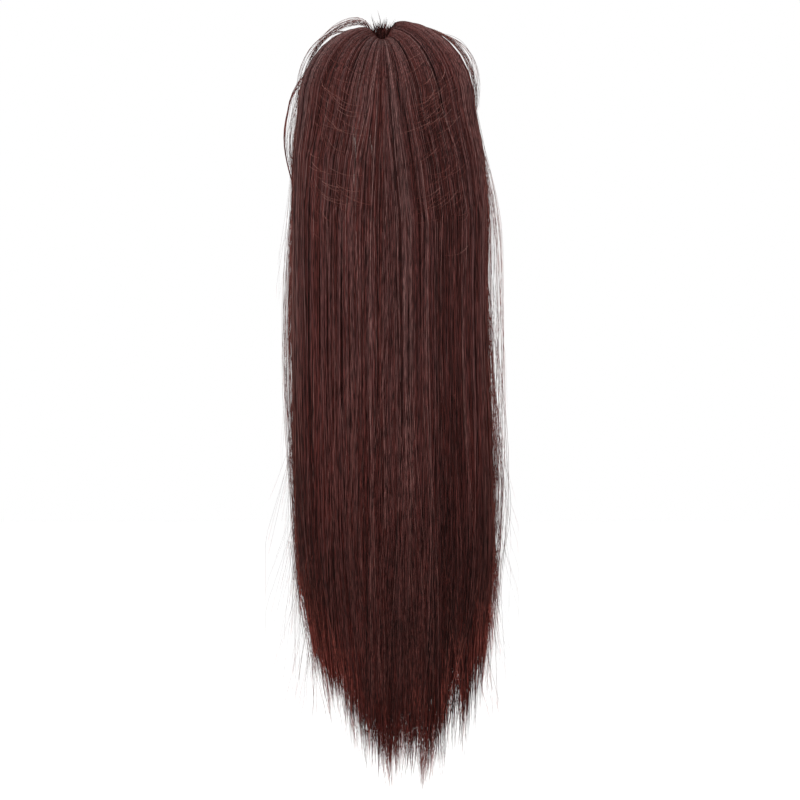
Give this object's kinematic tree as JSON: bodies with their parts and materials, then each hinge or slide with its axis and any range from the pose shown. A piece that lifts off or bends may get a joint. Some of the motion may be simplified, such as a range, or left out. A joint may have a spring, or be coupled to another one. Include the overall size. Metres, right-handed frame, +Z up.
{
  "type": "ponytail hairpiece",
  "caption": "Long straight ponytail hairpiece on a shallow hollow net cap with a comb: a domed crown of hair parted at its root, falling to ragged tapered tips.",
  "frame": {"origin": "centre of the cap's open mouth, where it goes over the wearer's bun", "axes": "+Z up along the hanging hair, +Y into the wearer's head, +X to the right as the hair is seen from outside"},
  "size_m": [0.1579, 0.0724, 0.552],
  "materials": {
    "hair": "dark reddish brown straight synthetic hair with a soft sheen",
    "inner_hair": "dark brown straight synthetic hair",
    "cap_net": "matt dark net cloth",
    "comb_plastic": "smooth dark plastic"
  },
  "bodies": {
    "root": {"base_cap": "cap_net", "comb": "comb_plastic", "crown_hair_left": "hair", "crown_hair_right": "hair", "nape_hair": "inner_hair", "under_hair": "inner_hair", "root_tuft": "hair", "loop_lock_left": "hair", "side_lock_right": "hair"}
  },
  "joints": []
}
